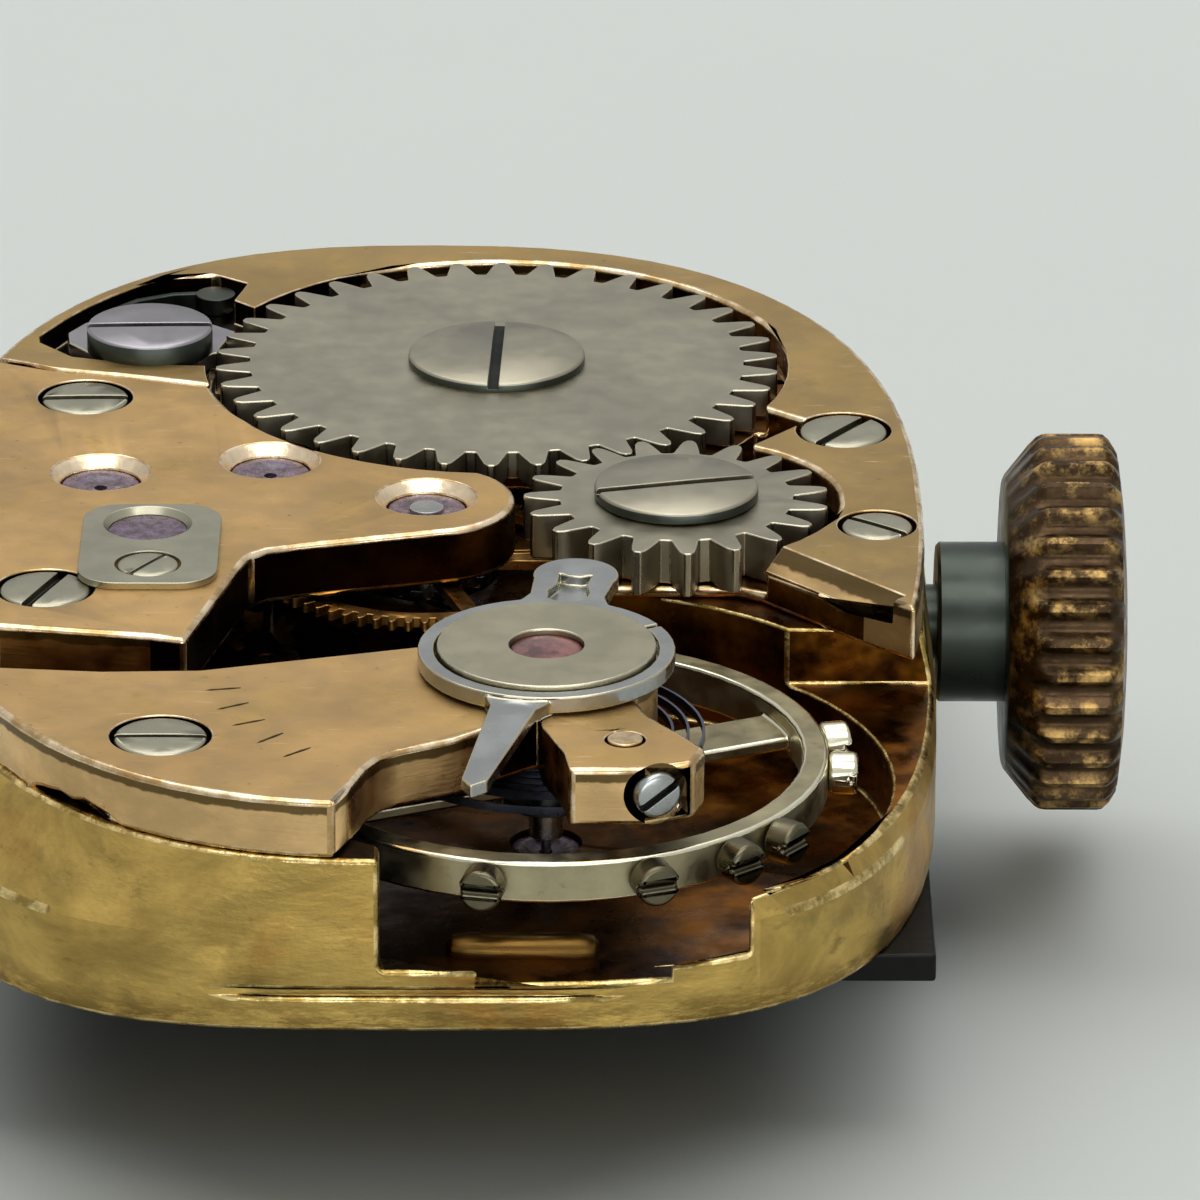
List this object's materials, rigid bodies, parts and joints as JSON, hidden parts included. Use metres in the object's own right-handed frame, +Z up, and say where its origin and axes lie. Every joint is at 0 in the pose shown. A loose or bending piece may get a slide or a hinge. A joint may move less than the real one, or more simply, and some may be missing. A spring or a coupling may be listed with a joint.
{
  "type": "watch movement",
  "caption": "Small hand-wound watch movement with bridges, winding wheels, going train, lever escapement, balance, crown and dial.",
  "frame": {"origin": "on the axis of the hands, in the plane where the main plate meets the dial", "axes": "+X along the winding stem to the crown, +Y along the movement away from the balance, +Z up through the bridges"},
  "size_m": [0.0144, 0.0179, 0.0053],
  "materials": {
    "plate_gilt": "worn gilt",
    "bridge_gilt": "fine gilt",
    "polished_steel": "polished",
    "wheel_steel": "satin",
    "dark_steel": "satin",
    "ruby": "polished",
    "train_brass": "satin",
    "balance_brass": "polished",
    "spring_steel": "blued",
    "crown_bronze": "worn",
    "dial_black": "matt"
  },
  "bodies": {
    "movement": {"main_plate": "plate_gilt", "barrel_bridge": "bridge_gilt", "train_bridge": "bridge_gilt", "balance_cock": "bridge_gilt", "barrel_bridge_screws": "polished_steel", "train_bridge_screws": "polished_steel", "cock_screw": "polished_steel", "train_jewels": "ruby", "plate_jewels": "ruby", "escape_cap_plate": "polished_steel", "escape_cap_jewel": "ruby", "escape_cap_screw": "polished_steel", "pallet_bridge": "plate_gilt", "pallet_bridge_screw": "polished_steel", "click_screw": "polished_steel", "click_spring": "dark_steel", "crown_wheel_core": "polished_steel", "crown_wheel_screw": "polished_steel", "hairspring_stud": "polished_steel", "stud_screw": "polished_steel", "end_piece": "polished_steel", "end_stone": "ruby", "dial": "dial_black", "setting_lever_spring": "dark_steel", "setting_screw": "polished_steel", "yoke_spring": "dark_steel", "hairspring": "spring_steel"},
    "ratchet": {"ratchet_wheel": "wheel_steel", "ratchet_screw": "polished_steel", "barrel_arbor": "dark_steel"},
    "crown_wheel": {"crown_wheel": "wheel_steel"},
    "click": {"click": "wheel_steel"},
    "barrel": {"barrel_drum": "train_brass", "barrel_cover": "train_brass", "mainspring": "dark_steel"},
    "centre": {"centre_wheel": "train_brass", "centre_pinion": "dark_steel", "cannon_pinion": "dark_steel"},
    "third": {"third_wheel": "train_brass", "third_pinion": "dark_steel"},
    "fourth": {"fourth_wheel": "train_brass", "fourth_pinion": "dark_steel"},
    "escape": {"escape_wheel": "train_brass", "escape_pinion": "dark_steel"},
    "fork": {"pallet_fork": "dark_steel", "pallet_stones": "ruby"},
    "balance": {"balance_wheel": "balance_brass", "balance_screws": "balance_brass", "balance_staff": "dark_steel", "roller": "dark_steel"},
    "regulator": {"regulator": "polished_steel"},
    "winding_pinion": {"winding_pinion": "dark_steel"},
    "sliding_pinion": {"sliding_pinion": "dark_steel"},
    "stem": {"stem": "dark_steel", "crown": "crown_bronze"},
    "setting_lever": {"setting_lever": "dark_steel"},
    "yoke": {"yoke": "dark_steel"},
    "setting_wheel": {"setting_wheel": "dark_steel"},
    "minute_wheel": {"minute_wheel": "train_brass"},
    "hour_wheel": {"hour_wheel": "train_brass"}
  },
  "joints": [
    {"name": "centre_turn", "type": "hinge", "parent": "movement", "child": "centre", "pos_m": [0, 0, 0], "axis": [0, 0, 1], "continuous": true},
    {"name": "barrel_turn", "type": "hinge", "parent": "movement", "child": "barrel", "pos_m": [0.00081, 0.00442, 0], "axis": [0, 0, 1], "continuous": true},
    {"name": "third_turn", "type": "hinge", "parent": "movement", "child": "third", "pos_m": [-0.0019, 0.00117, 0], "axis": [0, 0, 1], "continuous": true},
    {"name": "fourth_turn", "type": "hinge", "parent": "movement", "child": "fourth", "pos_m": [-0.00393, 0.00076, 0], "axis": [0, 0, 1], "continuous": true},
    {"name": "escape_turn", "type": "hinge", "parent": "movement", "child": "escape", "pos_m": [-0.00329, -0.00108, 0], "axis": [0, 0, 1], "continuous": true},
    {"name": "minute_wheel_turn", "type": "hinge", "parent": "movement", "child": "minute_wheel", "pos_m": [0.0007, -0.00209, 0], "axis": [0, 0, 1], "continuous": true},
    {"name": "hour_wheel_turn", "type": "hinge", "parent": "movement", "child": "hour_wheel", "pos_m": [0, 0, 0], "axis": [0, 0, 1], "continuous": true},
    {"name": "setting_wheel_turn", "type": "hinge", "parent": "movement", "child": "setting_wheel", "pos_m": [0.00197, 0, 0], "axis": [0, 0, 1], "continuous": true},
    {"name": "fork_rock", "type": "hinge", "parent": "movement", "child": "fork", "pos_m": [-0.00186, -0.00233, 0], "axis": [0, 0, 1], "range_deg": [-5, 5]},
    {"name": "balance_swing", "type": "hinge", "parent": "movement", "child": "balance", "pos_m": [0.00144, -0.00522, 0], "axis": [0, 0, 1], "range_deg": [-270, 270], "deforming": ["hairspring"]},
    {"name": "regulator_turn", "type": "hinge", "parent": "movement", "child": "regulator", "pos_m": [0.00144, -0.00522, 0], "axis": [0, 0, 1], "range_deg": [-10, 10]},
    {"name": "click_rock", "type": "hinge", "parent": "movement", "child": "click", "pos_m": [-0.0035, 0.00506, 0], "axis": [0, 0, 1], "range_deg": [0, 12], "stiffness_Nm_per_rad": 0.000001, "springref_deg": -11.46},
    {"name": "stem_turn", "type": "hinge", "parent": "movement", "child": "winding_pinion", "pos_m": [0.0047, 0, 0.0012], "axis": [1, 0, 0], "continuous": true},
    {"name": "crown_wheel_turn", "type": "hinge", "parent": "movement", "child": "crown_wheel", "pos_m": [0.00298, -0.00004, 0], "axis": [0, 0, 1], "continuous": true},
    {"name": "ratchet_turn", "type": "hinge", "parent": "movement", "child": "ratchet", "pos_m": [0.00081, 0.00442, 0], "axis": [0, 0, 1], "continuous": true},
    {"name": "crown_pull", "type": "slide", "parent": "winding_pinion", "child": "stem", "axis": [1, 0, 0], "range_m": [0, 0.0005]},
    {"name": "clutch_slide", "type": "slide", "parent": "winding_pinion", "child": "sliding_pinion", "axis": [-1, 0, 0], "range_m": [0, 0.00055]},
    {"name": "setting_lever_turn", "type": "hinge", "parent": "movement", "child": "setting_lever", "pos_m": [0.0049, 0.00175, 0], "axis": [0, 0, 1], "range_deg": [0, 17.5]},
    {"name": "yoke_turn", "type": "hinge", "parent": "movement", "child": "yoke", "pos_m": [0.0022, 0.0023, 0], "axis": [0, 0, 1], "range_deg": [-13.2, 0]}
  ],
  "couplings": [
    {"joint": "barrel_turn", "follows": "centre_turn", "ratio": -0.16667},
    {"joint": "third_turn", "follows": "centre_turn", "ratio": -8},
    {"joint": "fourth_turn", "follows": "centre_turn", "ratio": 60},
    {"joint": "escape_turn", "follows": "centre_turn", "ratio": -600},
    {"joint": "minute_wheel_turn", "follows": "centre_turn", "ratio": -0.33333},
    {"joint": "hour_wheel_turn", "follows": "centre_turn", "ratio": 0.083333},
    {"joint": "setting_wheel_turn", "follows": "centre_turn", "ratio": 0.71429},
    {"joint": "crown_wheel_turn", "follows": "stem_turn", "ratio": -0.68421},
    {"joint": "ratchet_turn", "follows": "stem_turn", "ratio": 0.34211},
    {"joint": "clutch_slide", "follows": "crown_pull", "ratio": 1.1},
    {"joint": "setting_lever_turn", "follows": "crown_pull", "rad_per_m": 590},
    {"joint": "yoke_turn", "follows": "crown_pull", "rad_per_m": -445}
  ]
}
